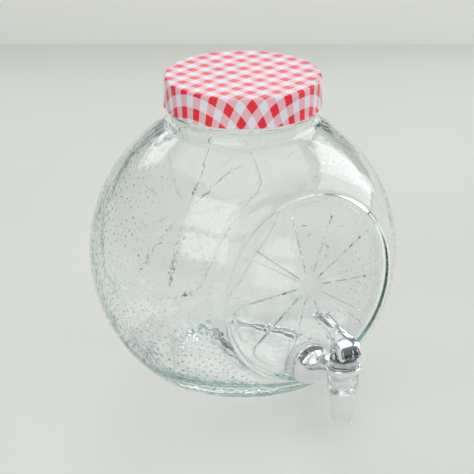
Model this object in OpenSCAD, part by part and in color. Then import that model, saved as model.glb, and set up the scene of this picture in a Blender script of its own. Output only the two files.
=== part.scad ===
// Glass beverage dispenser: a cut-sphere jar with a lug lid and a lever tap.
// The origin is the centre of the underside, +Z is up and the tap faces -Y.

/* [Jar] */
// Radius of the jar's outer sphere
jar_r = 109; // [107:0.5:111]
// Height of the sphere's centre above the underside
jar_z = 88; // [86:0.5:90]
// Distance of the front and back faces from the jar's axis
face_y = 83; // [82:0.5:84]
// Thickness of the glass wall
wall = 4; // [3.5:0.1:4.5]
// Thickness of the glass at the underside
base_t = 6; // [5:0.5:8]

/* [Citrus slice relief] */
// Height of the raised slice on the front and back faces
relief = 1.5; // [1:0.1:2]
// Number of segments in the slice
segments = 10; // [8:1:12]
// Outer radius of the segments
segment_r = 61.5; // [60:0.5:62.5]
// Radius of the rounded outer corners of a segment
segment_corner = 7; // [4:0.5:7]
// Half the angle left free beside each spoke, in degrees
spoke_half = 3; // [2:0.25:4]

/* [Neck] */
// Outer radius of the neck
neck_r = 51; // [50.5:0.1:51]
// Inner radius of the mouth
mouth_r = 46.5; // [45:0.5:47]
// Height of the mouth's rim
rim_z = 216; // [216:0.1:216.2]

/* [Lid] */
// Outer radius of the lid's skirt
lid_r = 55; // [55:0.1:55.5]
// Height of the lid's top face
lid_top = 218; // [218:0.1:218.5]
// Height of the skirt from the curled edge to the top face
lid_h = 22; // [21.5:0.1:22]
// Thickness of the lid's sheet metal
sheet = 0.7; // [0.5:0.05:0.7]
// Rise of the lid in one full turn
lead = 24; // [24:0.1:25]

/* [Tap] */
// Height of the tap hole above the underside
tap_z = 30.5; // [30:0.1:31]
// Distance of the barrel's axis from the jar's axis
barrel_y = 127; // [126.5:0.1:127.5]
// Radius of the round flange against the glass
flange_r = 14.6; // [14:0.1:15.5]
// Outer radius of the collar
collar_r = 12.4; // [12:0.1:12.8]
// Height of the nozzle's lower edge above the underside
nozzle_z = 2; // [1.5:0.1:3]
// Radius of the nozzle at its lower edge
nozzle_r = 7.5; // [7.3:0.1:8]

/* [Valve] */
// Rise of the valve stem at full pull
lift = 3; // [2.5:0.1:3]
// Turn of the lever at full pull, in degrees
pull = 40; // [36:1:40]
// Radius of the lever's pin
pin_r = 1.5; // [1.4:0.05:1.5]

/* [Hidden] */
$fn = 96;
gap = 0.3;          // free space between pieces that move past each other
fit = 0.05;         // radial clearance of a running fit
eps = 0.01;         // overlap that makes a cut clean

// Jar
ring_r = sqrt(jar_r * jar_r - face_y * face_y);     // where a face meets the sphere
ring_w = 4.5;
boss_r = 19;
shoulder_fillet = 6;
fillet_r = neck_r + shoulder_fillet;
fillet_z = jar_z + sqrt(pow(jar_r + shoulder_fillet, 2) - fillet_r * fillet_r);
rim_round = 1.8;
bead_r = 1.6;
bead_z = 192.4;
inner_r = jar_r - wall;
inner_y = face_y - wall;
hole_r = 8;

// Lid lugs and the ridges of the neck, both on one six-start helix
starts = 6;
lug_t = 1.4;
tip_taper = 0.72;                                   // thickness of a tip against its root
ridge_t = 1.8;
lug_reach = 0.5;                                    // gap from the lugs to the neck
ridge_r = 53.2;
curl_r = 0.9;
lid_round = 2;
lid_z = lid_top - lid_h;
lug_z = lid_z + 1.4;
ridge_z = lug_z + (lug_t + ridge_t) / 2 + 0.4;
lug_span = 9;
ridge_start = -10;
ridge_span = 50;

// Tap, from the glass outwards
boss_y = face_y + relief;
gasket_t = 1.6;
flange_y = boss_y + gasket_t;
flange_t = 3.2;
shank_r = 7.5;
thread_pitch = 1.5;
thread_depth = 0.5;
shank_end = inner_y - 14;
inlet_r = 4.6;
inner_gasket_t = 2;
inner_gasket_r = 11.5;                              // the flat face ends just below it
washer_t = 1.2;
washer_r = 13.5;
nut_t = 6;
nut_r = 13;

// Barrel, collar and valve, from the nozzle upwards
band_r = 10.7;
band_z = 29.5;
collar_z = 40;
collar_t = 4.5;
seal_t = 0.7;
barrel_r = 9.5;
chamber_r = 7.7;
throat_r = 4.8;
seat_z = 31;
barrel_top = 50;
cap_t = 1;
cap_top = barrel_top + cap_t;
clip_z = collar_z + collar_t + 0.2;
clip_t = 1.2;
clip_r = barrel_r + 1.3;
groove_depth = 0.5;
stem_r = 2;                                         // the foot, which carries the cup
rod_r = 4.4;                                        // the rod that slides in the cap
block_half = 4.8;                                   // the block that carries the lever
block_front = 3;
block_back = 4.2;
cup_r = 6.9;
cup_t = 4;
plug_z = 45.8;
o_ring_r = 0.8;
port_r = 3;
port_z = 42;
spring_wire = 0.45;
spring_r = 6.05;
spring_turns = 5;
spring_low = seat_z + cup_t + washer_t + 0.1;

// Lever and its cam feet: the support height of the feet grows evenly with the turn
pin_y = barrel_y + 1;
cam_rate = lift / (pull * PI / 180);
pin_z = 59.5;
cam_low = pin_z - cap_top - gap;
leg_out = 8;
leg_t = 2.2;
web_t = 2.2;

// ---------------------------------------------------------------- helpers

// Points on an arc, in the plane
function arc(c, r, a0, a1, n) =
    [for (i = [0:n]) let (a = a0 + (a1 - a0) * i / n) c + r * [cos(a), sin(a)]];

// Points on a cubic curve
function bezier(a, b, c, d, n) =
    [for (i = [0:n]) let (t = i / n, s = 1 - t)
        s * s * s * a + 3 * s * s * t * b + 3 * s * t * t * c + t * t * t * d];

// A line of points moved sideways by a distance
function beside(p, d) =
    [for (i = [0:len(p) - 1])
        let (a = p[max(i - 1, 0)], b = p[min(i + 1, len(p) - 1)], v = (b - a) / norm(b - a))
        p[i] + d * [-v[1], v[0]]];

function flipped(p) = [for (i = [len(p) - 1:-1:0]) p[i]];

// Turns a shape drawn along +Z to lie along -Y, starting at distance y from the axis
module outward(y, z) {
    translate([0, -y, z])
        rotate([90, 0, 0])
            children();
}

// A ring with a flat section
module ring(r_out, r_in, h) {
    difference() {
        cylinder(r = r_out, h = h);
        translate([0, 0, -eps])
            cylinder(r = r_in, h = h + 2 * eps);
    }
}

// A stretch of the helix between two radii, each with its thickness, at height z at angle 0
module helix_band(r_in, t_in, r_out, t_out, z, start, span) {
    steps = ceil(span / 3);
    section = [[r_in, -t_in / 2], [r_out, -t_out / 2], [r_out, t_out / 2], [r_in, t_in / 2]];
    rings = [for (i = [0:steps], q = section)
        let (a = start + span * i / steps)
            [q[0] * cos(a), q[0] * sin(a), z + lead * a / 360 + q[1]]];
    sides = [for (i = [0:steps - 1], j = [0:3])
        [4 * i + j, 4 * i + (j + 1) % 4, 4 * (i + 1) + (j + 1) % 4, 4 * (i + 1) + j]];
    ends = [[3, 2, 1, 0], [for (j = [0:3]) 4 * steps + j]];
    polyhedron(points = rings, faces = concat(sides, ends), convexity = 4);
}

// ---------------------------------------------------------------- jar

// One segment of the slice, pointing along +X, with a narrow inner tip
function segment_outline() =
    let (half = 180 / segments - spoke_half,
         c = segment_r - segment_corner,
         turn = asin(segment_corner / c),
         low = c * [cos(half - turn), -sin(half - turn)],
         high = c * [cos(half - turn), sin(half - turn)])
    concat(
        arc([9.5, 0], 1.6, 90 + half, 270 - half, 4),
        arc(low, segment_corner, -90 - half, turn - half, 5),
        arc([0, 0], segment_r, turn - half, half - turn, 4),
        arc(high, segment_corner, half - turn, 90 + half, 5));

// The raised slice: a ring of pith and its segments, with one segment pointing up
module slice_relief() {
    difference() {
        cylinder(r = ring_r, h = relief);
        translate([0, 0, -eps])
            cylinder(r = ring_r - ring_w, h = relief + 2 * eps);
    }
    for (i = [0:segments - 1])
        rotate([0, 0, 90 + i * 360 / segments])
            linear_extrude(relief)
                polygon(segment_outline());
}

module faced_sphere(r, y, low) {
    intersection() {
        translate([0, 0, jar_z])
            sphere(r = r);
        translate([-r - 1, -y, low])
            cube([2 * r + 2, 2 * y, 3 * r]);
    }
}

module shoulder() {
    rotate_extrude()
        difference() {
            polygon([[mouth_r + 1, jar_z + 90], [fillet_r - 2, jar_z + 90],
                [fillet_r * jar_r / (jar_r + shoulder_fillet),
                    jar_z + (fillet_z - jar_z) * jar_r / (jar_r + shoulder_fillet)],
                [fillet_r, fillet_z], [mouth_r + 1, fillet_z]]);
            translate([fillet_r, fillet_z])
                circle(r = shoulder_fillet);
        }
}

// The neck's wall with a rounded rim and a bead below the lid
module neck() {
    translate([0, 0, fillet_z - 12])
        cylinder(r = neck_r, h = rim_z - rim_round - fillet_z + 12);
    translate([0, 0, rim_z - rim_round - eps])
        cylinder(r = neck_r - rim_round, h = rim_round + eps);
    rotate_extrude()
        translate([neck_r - rim_round, rim_z - rim_round])
            circle(r = rim_round);
    rotate_extrude()
        translate([neck_r - 0.3, bead_z])
            circle(r = bead_r);
}

module glass_jar() {
    color([0.80, 0.88, 0.86, 0.35])
        difference() {
            union() {
                faced_sphere(jar_r, face_y, 0);
                shoulder();
                neck();
                for (side = [0, 180])
                    rotate([0, 0, side])
                        outward(face_y - eps, jar_z)
                            slice_relief();
                outward(face_y - eps, tap_z)
                    cylinder(r = boss_r, h = relief + eps);
                for (i = [0:starts - 1])
                    rotate([0, 0, i * 360 / starts])
                        helix_band(neck_r - 0.5, ridge_t, ridge_r, ridge_t * tip_taper,
                            ridge_z, ridge_start, ridge_span);
            }
            faced_sphere(inner_r, inner_y, base_t);
            translate([0, 0, jar_z])
                cylinder(r = mouth_r, h = rim_z);
            outward(inner_y - 5, tap_z)
                cylinder(r = hole_r, h = wall + relief + 10);
        }
}

// ---------------------------------------------------------------- lid

// Half the lid's section: a flat top, a rounded edge and the skirt
function lid_outline() =
    let (c = [lid_r - lid_round, lid_top - lid_round])
    concat(
        [[0, lid_top]],
        arc(c, lid_round, 90, 0, 8),
        [[lid_r, lid_z + curl_r], [lid_r - sheet, lid_z + curl_r]],
        arc(c, lid_round - sheet, 0, 90, 8),
        [[0, lid_top - sheet]]);

module lid_shell() {
    color([0.86, 0.16, 0.22]) {
        rotate_extrude()
            polygon(lid_outline());
        rotate_extrude()
            translate([lid_r - curl_r + 0.4, lid_z + curl_r])
                circle(r = curl_r);
        for (i = [0:starts - 1])
            rotate([0, 0, i * 360 / starts])
                helix_band(neck_r + lug_reach, lug_t * tip_taper, lid_r - sheet / 2, lug_t,
                    lug_z, -lug_span / 2, lug_span);
    }
}

module lid_liner() {
    color([0.93, 0.93, 0.90])
        translate([0, 0, rim_z + fit])
            ring(neck_r + 1.5, mouth_r - 1, lid_top - sheet - rim_z - fit);
}

// ---------------------------------------------------------------- tap body

// Half the section of the threaded shank and the domed flange, drawn from the inner end
function shank_outline() =
    let (n = floor((inner_y - shank_end) / thread_pitch))
    concat(
        [[0, 0]],
        [for (i = [0:n - 1], s = [0, 1])
            [shank_r - (s == 0 ? thread_depth : 0), (i + s / 2) * thread_pitch]],
        [[shank_r, n * thread_pitch], [shank_r, flange_y - shank_end], [0, flange_y - shank_end]]);

module flange() {
    dome = 3;
    rotate_extrude()
        polygon(concat([[0, 0], [flange_r, 0], [flange_r, flange_t - 1]],
            arc([flange_r - 1, flange_t - 1], 1, 0, 70, 4),
            bezier([flange_r - 2.5, flange_t + 0.3], [flange_r - 5, flange_t + 0.8],
                [9.6, flange_t + 1.5], [9.2, flange_t + dome + 3], 6),
            [[0, flange_t + dome + 3]]));
}

// A thin upright slice of the neck, used to loft it
module neck_slice(y, z, half_w, half_h) {
    translate([0, -y, z])
        scale([half_w, 1, half_h])
            rotate([90, 0, 0])
                cylinder(r = 1, h = 0.4, center = true, $fn = 32);
}

// The neck swells as it climbs to the collar
module tap_neck() {
    stations = [
        [flange_y + flange_t - 1, tap_z, 9.6, 9.6],
        [flange_y + 9, tap_z + 0.8, 8.2, 8.6],
        [flange_y + 14, tap_z + 2.6, 7.8, 9.2],
        [flange_y + 20, tap_z + 5.4, 7.8, 10],
        [barrel_y - 8, tap_z + 7.5, 8.4, 9.6]
    ];
    for (i = [0:3])
        hull() {
            neck_slice(stations[i][0], stations[i][1], stations[i][2], stations[i][3]);
            neck_slice(stations[i + 1][0], stations[i + 1][1], stations[i + 1][2],
                stations[i + 1][3]);
        }
}

module tap_body() {
    inlet_knee = flange_y + 13;
    color([0.78, 0.79, 0.80])
        difference() {
            union() {
                outward(shank_end, tap_z)
                    rotate_extrude()
                        polygon(shank_outline());
                outward(flange_y, tap_z)
                    flange();
                tap_neck();
                translate([0, -barrel_y, collar_z])
                    cylinder(r = collar_r - 0.9, h = collar_t);
                translate([0, -barrel_y, collar_z + collar_t - 1.6])
                    cylinder(r = collar_r, h = 1.6);
            }
            translate([0, -barrel_y, collar_z - eps])
                cylinder(r = barrel_r + fit, h = 20);
            translate([0, -barrel_y, collar_z + collar_t])
                cylinder(r = clip_r + gap, h = 10);
            translate([0, -barrel_y, 0])
                cylinder(r = band_r + fit, h = collar_z);
            outward(shank_end - 1, tap_z)
                cylinder(r = inlet_r, h = inlet_knee - shank_end + 1);
            translate([0, -inlet_knee, tap_z])
                sphere(r = inlet_r);
            translate([0, -barrel_y, port_z])
                rotate([atan2(port_z - tap_z, barrel_y - inlet_knee) - 90, 0, 0])
                    cylinder(r = port_r, h = norm([port_z - tap_z, barrel_y - inlet_knee]));
        }
}

module outer_gasket() {
    color([0.88, 0.90, 0.88])
        outward(boss_y, tap_z)
            ring(flange_r + 0.6, shank_r + 0.2, gasket_t);
}

module inner_gasket() {
    color([0.88, 0.90, 0.88])
        outward(inner_y - inner_gasket_t, tap_z)
            ring(inner_gasket_r, shank_r + 0.2, inner_gasket_t);
}

module inner_washer() {
    color([0.90, 0.90, 0.90])
        outward(inner_y - inner_gasket_t - washer_t, tap_z)
            ring(washer_r, shank_r + 0.2, washer_t);
}

module retaining_nut() {
    color([0.86, 0.87, 0.88])
        outward(inner_y - inner_gasket_t - washer_t - nut_t, tap_z)
            difference() {
                union() {
                    cylinder(r = nut_r, h = nut_t, $fn = 6);
                    translate([0, 0, nut_t - 1])
                        cylinder(r = nut_r + 0.4, h = 1);
                }
                translate([0, 0, -1])
                    cylinder(r = shank_r + fit, h = nut_t + 2);
            }
}

// ---------------------------------------------------------------- barrel and valve

module clear_barrel() {
    outlet_r = nozzle_r - 1.6;
    color([0.82, 0.90, 0.88, 0.4])
        translate([0, -barrel_y, 0])
            difference() {
                rotate_extrude()
                    polygon([
                        [outlet_r, nozzle_z], [nozzle_r, nozzle_z], [nozzle_r, nozzle_z + 2],
                        [band_r - 0.9, band_z - 0.6], [band_r, band_z], [band_r, collar_z - seal_t],
                        [barrel_r, collar_z - seal_t], [barrel_r, barrel_top],
                        [chamber_r, barrel_top], [chamber_r, seat_z], [throat_r, seat_z],
                        [throat_r, seat_z - 2.5], [band_r - 3, seat_z - 5]]);
                translate([0, 0, clip_z])
                    ring(barrel_r + 1, barrel_r - groove_depth, clip_t);
                translate([0, 0, port_z])
                    rotate([-90, 0, 0])
                        cylinder(r = port_r, h = barrel_r + 2);
            }
}

module collar_seal() {
    color([0.90, 0.92, 0.90])
        translate([0, -barrel_y, collar_z - seal_t])
            ring(band_r - 0.1, barrel_r + fit, seal_t);
}

// A snap ring with an opening towards the front
module barrel_clip() {
    color([0.70, 0.71, 0.73])
        translate([0, -barrel_y, clip_z])
            difference() {
                ring(clip_r, barrel_r - groove_depth + fit, clip_t);
                translate([-3, -barrel_r - 2, -1])
                    cube([6, 4, clip_t + 2]);
            }
}

module barrel_cap() {
    color([0.84, 0.91, 0.89, 0.4])
        translate([0, -barrel_y, 0])
            difference() {
                union() {
                    translate([0, 0, plug_z])
                        cylinder(r = chamber_r - fit, h = barrel_top - plug_z + eps);
                    translate([0, 0, barrel_top])
                        cylinder(r = barrel_r, h = cap_t);
                }
                translate([0, 0, plug_z - 1])
                    cylinder(r = rod_r + fit, h = cap_top);
                translate([0, 0, plug_z - eps])
                    cylinder(r = rod_r + 2 * o_ring_r, h = 2 * o_ring_r + 0.2);
            }
}

module stem_o_ring() {
    color([0.15, 0.15, 0.16])
        translate([0, -barrel_y, plug_z + o_ring_r])
            rotate_extrude()
                translate([rod_r + fit + o_ring_r - 0.03, 0])
                    circle(r = o_ring_r - 0.03, $fn = 32);
}

// The stem carries the cup at its foot and a block with the pin's hole at its head
module valve_stem() {
    block_z = cap_top + gap;
    foot_z = seat_z + 0.8;
    rod_z = seat_z + cup_t + washer_t;
    color([0.42, 0.46, 0.50])
        difference() {
            union() {
                translate([0, -barrel_y, foot_z])
                    cylinder(r = stem_r, h = rod_z - foot_z + eps);
                translate([0, -barrel_y, foot_z])
                    cylinder(r = stem_r + 1, h = 1.6);
                translate([0, -barrel_y, rod_z])
                    cylinder(r = rod_r, h = block_z - rod_z + 1);
                translate([-block_half, -pin_y - block_front, block_z])
                    cube([2 * block_half, block_front + block_back, pin_z - block_z]);
                translate([-block_half, -pin_y, pin_z])
                    rotate([0, 90, 0])
                        cylinder(r = block_front, h = 2 * block_half);
            }
            translate([-leg_out, -pin_y, pin_z])
                rotate([0, 90, 0])
                    cylinder(r = pin_r + fit, h = 2 * leg_out);
        }
}

module seat_cup() {
    color([0.90, 0.92, 0.90])
        translate([0, -barrel_y, 0])
            rotate_extrude()
                polygon([
                    [0, seat_z + 0.1], [throat_r + 0.4, seat_z + 0.1], [cup_r, seat_z + 1.4],
                    [cup_r, seat_z + cup_t], [stem_r, seat_z + cup_t], [stem_r, seat_z + 2.4],
                    [stem_r + 1, seat_z + 2.4], [stem_r + 1, seat_z + 0.8], [0, seat_z + 0.8]]);
}

module spring_washer() {
    color([0.75, 0.76, 0.78])
        translate([0, -barrel_y, seat_z + cup_t])
            ring(spring_r + 0.9, stem_r, washer_t);
}

// A closed-end coil, drawn as one tube swept along its turns
module return_spring() {
    top = plug_z - 0.2;
    sides = 8;
    per_turn = 20;
    steps = spring_turns * per_turn;
    rise = top - spring_low - 2 * spring_wire;
    points = [for (i = [0:steps], j = [0:sides - 1])
        let (a = i * 360 / per_turn, b = j * 360 / sides,
             r = spring_r + spring_wire * cos(b))
        [r * cos(a), r * sin(a) - barrel_y,
            spring_low + spring_wire * (1 + sin(b)) + rise * i / steps]];
    skin = [for (i = [0:steps - 1], j = [0:sides - 1])
        let (k = (j + 1) % sides)
        [i * sides + j, (i + 1) * sides + j, (i + 1) * sides + k, i * sides + k]];
    ends = [[for (j = [0:sides - 1]) j], [for (j = [sides - 1:-1:0]) steps * sides + j]];
    color([0.62, 0.63, 0.65])
        polyhedron(points = points, faces = concat(skin, ends), convexity = 8);
}

// ---------------------------------------------------------------- lever

// The lever's line from the front of the legs to the tip, in the plane [-y, z]
function lever_line() =
    concat(
        bezier([pin_y + 7.8, pin_z + 0.8], [pin_y + 7, pin_z + 4.6],
            [pin_y, pin_z + 3.6], [pin_y - 8, pin_z + 6.6], 14),
        bezier([pin_y - 10, pin_z + 7.2], [pin_y - 20, pin_z + 10],
            [pin_y - 26, pin_z + 12.4], [pin_y - 35, pin_z + 12.4], 10));

// Half the lever's width along its length, in the plane [-y, x]
function lever_width() =
    concat(
        [[pin_y + 13, leg_out], [pin_y - 1, leg_out]],
        bezier([pin_y - 1, leg_out], [pin_y - 5, leg_out - 1],
            [pin_y - 5, 4.6], [pin_y - 10, 4.8], 6),
        bezier([pin_y - 12, 5], [pin_y - 20, 6],
            [pin_y - 35.4, 7.4], [pin_y - 35.4, 0], 10));

// A leg's outline: the cam foot, then up the front and round the pin, in the plane [-y, z]
function leg_outline() =
    concat(
        [[pin_y - 2.6, pin_z + 4.6], [pin_y - 3.4, pin_z - 3]],
        [[pin_y + cam_rate - 3, pin_z - cam_low]],
        [for (i = [0:8])
            let (a = pull * i / 8, h = cam_low + cam_rate * a * PI / 180)
            [pin_y + h * sin(a) + cam_rate * cos(a), pin_z - h * cos(a) + cam_rate * sin(a)]],
        [[pin_y + 9.4, pin_z - 2.4], [pin_y + 6, pin_z + 2.4], [pin_y + 2, pin_z + 4.4]]);

// Stands a [-y, z] outline up and gives it a width along X
module standing(x, width) {
    translate([x, 0, 0])
        rotate([90, 0, 90])
            linear_extrude(width)
                mirror([1, 0])
                    children();
}

module lever() {
    line = lever_line();
    half = lever_width();
    color([0.80, 0.81, 0.82])
        difference() {
            union() {
                intersection() {
                    standing(-leg_out, 2 * leg_out)
                        polygon(concat(beside(line, web_t / 2),
                            flipped(beside(line, -web_t / 2))));
                    translate([0, 0, pin_z - 20])
                        linear_extrude(40)
                            polygon(concat([for (p = half) [p[1], -p[0]]],
                                flipped([for (p = half) [-p[1], -p[0]]])));
                }
                for (x = [-leg_out, leg_out - leg_t])
                    standing(x, leg_t)
                        polygon(leg_outline());
            }
            translate([-leg_out - 1, -pin_y, pin_z])
                rotate([0, 90, 0])
                    cylinder(r = pin_r, h = 2 * leg_out + 2);
        }
}

module lever_pin() {
    color([0.66, 0.68, 0.70])
        translate([-leg_out, -pin_y, pin_z])
            rotate([0, 90, 0])
                cylinder(r = pin_r, h = 2 * leg_out);
}

glass_jar();
lid_shell();
lid_liner();
tap_body();
outer_gasket();
inner_gasket();
inner_washer();
retaining_nut();
clear_barrel();
collar_seal();
barrel_clip();
barrel_cap();
stem_o_ring();
valve_stem();
seat_cup();
spring_washer();
return_spring();
lever();
lever_pin();
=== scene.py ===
# The looks of a glass beverage dispenser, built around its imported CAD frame.
import math

import bmesh
import bpy
import numpy as np
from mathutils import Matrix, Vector


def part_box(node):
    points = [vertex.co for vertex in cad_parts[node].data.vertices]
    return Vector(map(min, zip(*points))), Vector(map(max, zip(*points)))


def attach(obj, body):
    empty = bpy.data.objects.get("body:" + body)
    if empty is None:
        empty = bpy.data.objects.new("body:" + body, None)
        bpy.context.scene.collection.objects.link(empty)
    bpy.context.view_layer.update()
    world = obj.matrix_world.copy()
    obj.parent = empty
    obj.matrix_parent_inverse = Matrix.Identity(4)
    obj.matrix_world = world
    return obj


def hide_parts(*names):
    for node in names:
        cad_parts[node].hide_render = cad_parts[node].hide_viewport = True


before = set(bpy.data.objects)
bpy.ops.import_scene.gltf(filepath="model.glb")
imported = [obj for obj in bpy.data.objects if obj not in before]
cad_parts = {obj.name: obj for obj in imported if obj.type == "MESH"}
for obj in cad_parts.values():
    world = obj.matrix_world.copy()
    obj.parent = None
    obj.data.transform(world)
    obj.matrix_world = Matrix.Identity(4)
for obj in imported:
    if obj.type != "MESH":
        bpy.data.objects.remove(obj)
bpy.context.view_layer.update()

MM = 0.001


# ------------------------------------------------------------------ measures, in millimetres

def box_mm(node):
    """Lowest and highest corner of a CAD node at rest."""
    low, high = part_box(node)
    return np.array(low) / MM, np.array(high) / MM


jar_low, jar_high = box_mm("glass_jar")
lid_low, lid_high = box_mm("lid_shell")
barrel_low, barrel_high = box_mm("clear_barrel")
gasket_low, gasket_high = box_mm("outer_gasket")
pin_low, pin_high = box_mm("lever_pin")

# Jar
SPARE = 0.02                                 # keeps the smooth sphere inside the faceted CAD box
JAR_R = min(jar_high[0], -jar_low[0]) - SPARE
JAR_Z = 88.0                                 # height of the sphere's centre
RELIEF = 1.5                                 # height of the raised slice
BACK_RELIEF = 0.6 * RELIEF                   # the slice on the back is fainter,
BACK_SOFT = 3.0                              # and its slopes are this many times as wide
FACE_Y = jar_high[1] - RELIEF                # distance of a flat face from the axis
WALL = 4.0
BASE_T = 6.0
HEEL_ROUND = 3.5                             # blend between the sphere and the underside
INNER_ROUND = (14.0, 30.0, 8.0)              # the hollow's blends: faces, floor and mouth
ABOVE_RIM = 1.5                              # the hollow's cutting solid ends this far above
BAND_DROP = 0.9                              # the band's edge lies this far below a flat face
PUNT = (52.0, 8.0, 1.4)                      # hollow underneath: radius, slope's width, height
NECK_R = 51.0
NECK_TOP = 191.0                             # the neck's stub ends here, inside the neck's tube
NECK_LOW = 187.6                             # lower edge of the neck's tube
NECK_FILLET = 9.0
BEAD_Z = 192.4
RIDGE_R = 53.2
LEAD = 24.0                                  # climb of the ridges in one turn
RIDGE_RISE = 3.4                             # height over the lid's lower edge at a turn of 0
RIDGES = 6
RIDGE_TURN = (-10, 50)                       # where the first ridge starts, and its length, degrees
MOUTH_R = 46.5
RIM_Z = jar_high[2]

# Citrus slice
SEGMENTS = 10
SEGMENT_HALF = math.radians(180 / SEGMENTS - 3)
SEGMENT_R = 61.5
SEGMENT_TIP = 8.0
SEGMENT_CORNER = 7.0
PITH_IN = 66.0
RIM_ROUND = (67.4, 3.5)                      # the pith's outer edge: centre and radius of its arc

# Skin of the jar: columns round its flat faces, and the pits between them, one in each cell
COLUMNS = 480
CELL = (3, 5)                                # rows and columns of a cell
CELL_ROWS = 36
PIT_R = 1.35
PIT_RINGS = (0.36, 0.72, 1.0)                # rings of points in a pit, as shares of its radius
PIT_SIDES = 6
PIT_DEPTH = (0.12, 0.5)
PIT_SIZE = (0.7, 1.0)                        # shares of the full radius
PIT_EDGE = 0.92                              # share of a pit's radius where it meets the skin
PIT_SPARE = 0.25                             # gap between a pit and the edge of its cell
PLAIN_TOP = math.radians(36)                 # the shoulder has no pits down to this angle,
PLAIN_LOW = 3.5                              # and the heel has none up to this height

# Tap
TAP_Z = (gasket_low[2] + gasket_high[2]) / 2
BOSS_R = 19.0
HOLE_R = 8.0
BARREL_Y = (barrel_low[1] + barrel_high[1]) / 2
PIN_Y = (pin_low[1] + pin_high[1]) / 2
PIN_Z = (pin_low[2] + pin_high[2]) / 2
COLLAR_RISE = 38.0                           # the collar's underside above the nozzle's mouth
COLLAR_R = 12.3
BARREL_BORE = 9.55
BAND_BORE = 10.75
SHANK_R = 7.45
LEG_X = (-7.95, 5.65)                        # where each leg of the lever starts across the tap
LEG_T = 2.3

# Lid
CURL_R = 0.9
LUGS = 6
LUG_DEPTH = 2.4
LUG_HALF = 2.8                               # half the width of a lug, in degrees
LUG_BLEND = 1.7

# Stage, in metres
FLOOR_HALF = 4.0
WALL_AWAY = 0.756
WALL_HALF = 3.0
WALL_TOP = 0.17

# Lights: name, azimuth from -Y towards +X, elevation, size in metres, radiance, distance
PANELS = (
    ("ceiling", 90, 86, (3.0, 3.0), 0.86, 2.2),
    ("right_window", 80, 24, (1.3, 1.1), 2.2, 1.6),
    ("left_window_high", -62, 42, (1.0, 0.62), 1.8, 1.6),
    ("left_window_low", -62, 19, (1.0, 0.46), 1.8, 1.6),
    ("back_window", 172, 34, (1.6, 0.55), 1.6, 1.6),
    ("back_glow", 149, 16, (0.8, 0.44), 0.9, 1.6),
    ("front_fill", -20, 22, (1.5, 1.0), 1.15, 1.6),
)
WORLD_COLOUR = (0.92, 0.98, 1.0, 1)
WORLD_STRENGTH = 0.22

# Camera: its angles and distance from the point that it looks at, and a small shift, in metres
CAMERA_AZ = math.radians(-32.5)              # from -Y towards +X
CAMERA_EL = math.radians(21.49)
CAMERA_DISTANCE = 2.0
CAMERA_AIM = Vector((0, 0, 0.1))
CAMERA_LEFT = 0.0041
CAMERA_DOWN = 0.0034
LENS = 214.06


# ------------------------------------------------------------------ mesh helpers

def grid_faces(rows, cols, start=0):
    """Quads between rows of cols points, where each row is a closed loop."""
    i = np.arange(rows - 1)[:, None] * cols
    j = np.arange(cols)[None, :]
    k = (j + 1) % cols
    quads = np.stack([i + j, i + k, i + cols + k, i + cols + j], -1)
    return (quads.reshape(-1, 4) + start).tolist()


def fan_faces(centre, first, cols, flip=False):
    """Triangles from one point to a closed loop of cols points."""
    fan = [[centre, first + j, first + (j + 1) % cols] for j in range(cols)]
    return [f[::-1] for f in fan] if flip else fan


def make_mesh(name, points, faces, smooth_angle=40):
    """A smooth-shaded object from points in millimetres, with its normals facing out."""
    points = np.asarray(points, float)
    used, flat = np.unique(np.concatenate([np.asarray(f) for f in faces]), return_inverse=True)
    ends = np.cumsum([len(f) for f in faces])
    faces = [part.tolist() for part in np.split(flat, ends[:-1])]
    mesh = bpy.data.meshes.new(name)
    mesh.from_pydata((points[used] * MM).tolist(), [], faces)
    bm = bmesh.new()
    bm.from_mesh(mesh)
    bmesh.ops.recalc_face_normals(bm, faces=bm.faces)
    bm.to_mesh(mesh)
    bm.free()
    shade(mesh, smooth_angle)
    obj = bpy.data.objects.new(name, mesh)
    bpy.context.scene.collection.objects.link(obj)
    return obj


def shade(mesh, smooth_angle):
    """Smooth shading with sharp edges above an angle."""
    mesh.polygons.foreach_set("use_smooth", [True] * len(mesh.polygons))
    mesh.set_sharp_from_angle(angle=math.radians(smooth_angle))


def closed_surface(name, loops, first=None, last=None, smooth_angle=40):
    """A skin over closed loops of points, with a point or a flat fan at either end."""
    loops = np.asarray(loops, float)
    rows, cols = loops.shape[:2]
    points = loops.reshape(-1, 3).tolist()
    faces = grid_faces(rows, cols)
    first = loops[0].mean(0) if first is None else first
    last = loops[-1].mean(0) if last is None else last
    points += [list(first), list(last)]
    faces += fan_faces(rows * cols, 0, cols, flip=True)
    faces += fan_faces(rows * cols + 1, (rows - 1) * cols, cols)
    return make_mesh(name, points, faces, smooth_angle)


def revolve(name, profile, cols=128, centre=(0, 0), smooth_angle=40):
    """A closed solid of revolution about +Z from a closed profile of [radius, height]."""
    profile = np.asarray(profile, float)
    turn = np.linspace(0, 2 * math.pi, cols, endpoint=False)
    points = np.stack([
        centre[0] + profile[:, :1] * np.cos(turn),
        centre[1] + profile[:, :1] * np.sin(turn),
        np.repeat(profile[:, 1:], cols, 1)], -1)
    ring = np.concatenate([points, points[:1]])
    rows = len(profile)
    faces = (np.array(grid_faces(rows + 1, cols)) % (rows * cols)).tolist()
    return make_mesh(name, ring[:-1].reshape(-1, 3), faces, smooth_angle)


def arc(centre, radius, start, end, steps):
    """Points on an arc, with its angles in degrees."""
    turn = np.radians(np.linspace(start, end, steps + 1))
    return [[centre[0] + radius * math.cos(t), centre[1] + radius * math.sin(t)] for t in turn]


def bezier(a, b, c, d, steps):
    """Points on a cubic curve."""
    t = np.linspace(0, 1, steps + 1)[:, None]
    a, b, c, d = (np.array(p, float) for p in (a, b, c, d))
    s = 1 - t
    return s ** 3 * a + 3 * s * s * t * b + 3 * s * t * t * c + t ** 3 * d


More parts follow.
